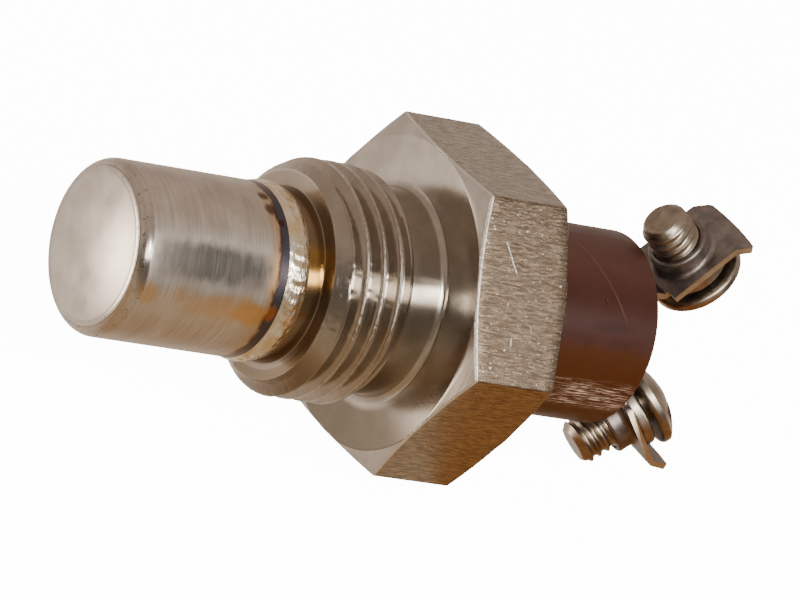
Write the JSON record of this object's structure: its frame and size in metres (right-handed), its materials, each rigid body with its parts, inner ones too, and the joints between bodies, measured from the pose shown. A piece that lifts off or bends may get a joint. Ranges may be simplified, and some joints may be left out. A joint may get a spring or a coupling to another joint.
{
  "type": "temperature switch",
  "caption": "Threaded probe switch: a snap disc in the welded tip pushes a pin that closes contacts between screw terminals on a moulded header.",
  "frame": {"origin": "on the probe's axis, in the plane of the hexagon's seat face, which seals on the port", "axes": "+X along the axis from the probe tip to the terminals, +Z from the lower terminal to the upper one, Y level between two of the hexagon's corners"},
  "size_m": [0.0593, 0.029, 0.0256],
  "materials": {
    "body_steel": "turned and brushed stainless steel, plated look",
    "cup_steel": "drawn stainless steel, finely brushed",
    "weld": "straw-tinted weld metal",
    "bimetal": "bimetal strip",
    "inner_steel": "plain steel",
    "ceramic": "white ceramic",
    "guide_moulding": "dark phenolic moulding",
    "phenolic": "glossy red-brown phenolic moulding",
    "seal": "black nitrile rubber",
    "terminal_brass": "nickel-plated brass with bare cut edges",
    "spring_brass": "copper alloy spring strip",
    "silver": "fine silver",
    "screw_steel": "nickel-plated steel"
  },
  "bodies": {
    "switch": {"body": "body_steel", "sensing_cup": "cup_steel", "weld_bead": "weld", "bimetal_disc": "bimetal", "disc_seat": "inner_steel", "spacer_sleeve": "inner_steel", "pin_guide": "guide_moulding", "header": "phenolic", "header_gasket": "seal", "upper_terminal": "terminal_brass", "lower_terminal": "terminal_brass", "fixed_contact": "silver"},
    "pin": {"transfer_pin": "ceramic"},
    "arm": {"contact_arm": "spring_brass", "moving_contact": "silver"},
    "upper_clamp": {"upper_washer": "screw_steel"},
    "lower_clamp": {"lower_washer": "screw_steel"},
    "upper_terminal_screw": {"upper_screw": "screw_steel"},
    "lower_terminal_screw": {"lower_screw": "screw_steel"}
  },
  "joints": [
    {"name": "pin_push", "type": "slide", "parent": "switch", "child": "pin", "axis": [1, 0, 0], "range_m": [0, 0.00035], "stiffness_N_per_m": 600, "deforming": ["bimetal_disc"]},
    {"name": "arm_swing", "type": "hinge", "parent": "switch", "child": "arm", "pos_m": [0.0069, 0, -0.00409], "axis": [0, 1, 0], "range_deg": [0, 4.9]},
    {"name": "upper_screw_travel", "type": "slide", "parent": "switch", "child": "upper_clamp", "axis": [0.8111, 0, -0.585], "range_m": [0, 0.00238]},
    {"name": "upper_screw_turn", "type": "hinge", "parent": "upper_clamp", "child": "upper_terminal_screw", "pos_m": [0.02662, -0.0001, 0.00758], "axis": [0.8111, 0, -0.585], "range_deg": [0, 1080.01]},
    {"name": "lower_screw_travel", "type": "slide", "parent": "switch", "child": "lower_clamp", "axis": [0.7009, 0, 0.7133], "range_m": [0, 0.00238]},
    {"name": "lower_screw_turn", "type": "hinge", "parent": "lower_clamp", "child": "lower_terminal_screw", "pos_m": [0.02708, -0.0008, -0.00719], "axis": [0.7009, 0, 0.7133], "range_deg": [0, 1080.01]}
  ],
  "couplings": [
    {"joint": "arm_swing", "follows": "pin_push", "rad_per_m": 244.5},
    {"joint": "upper_screw_turn", "follows": "upper_screw_travel", "rad_per_m": 7915.8},
    {"joint": "lower_screw_turn", "follows": "lower_screw_travel", "rad_per_m": 7915.8}
  ]
}
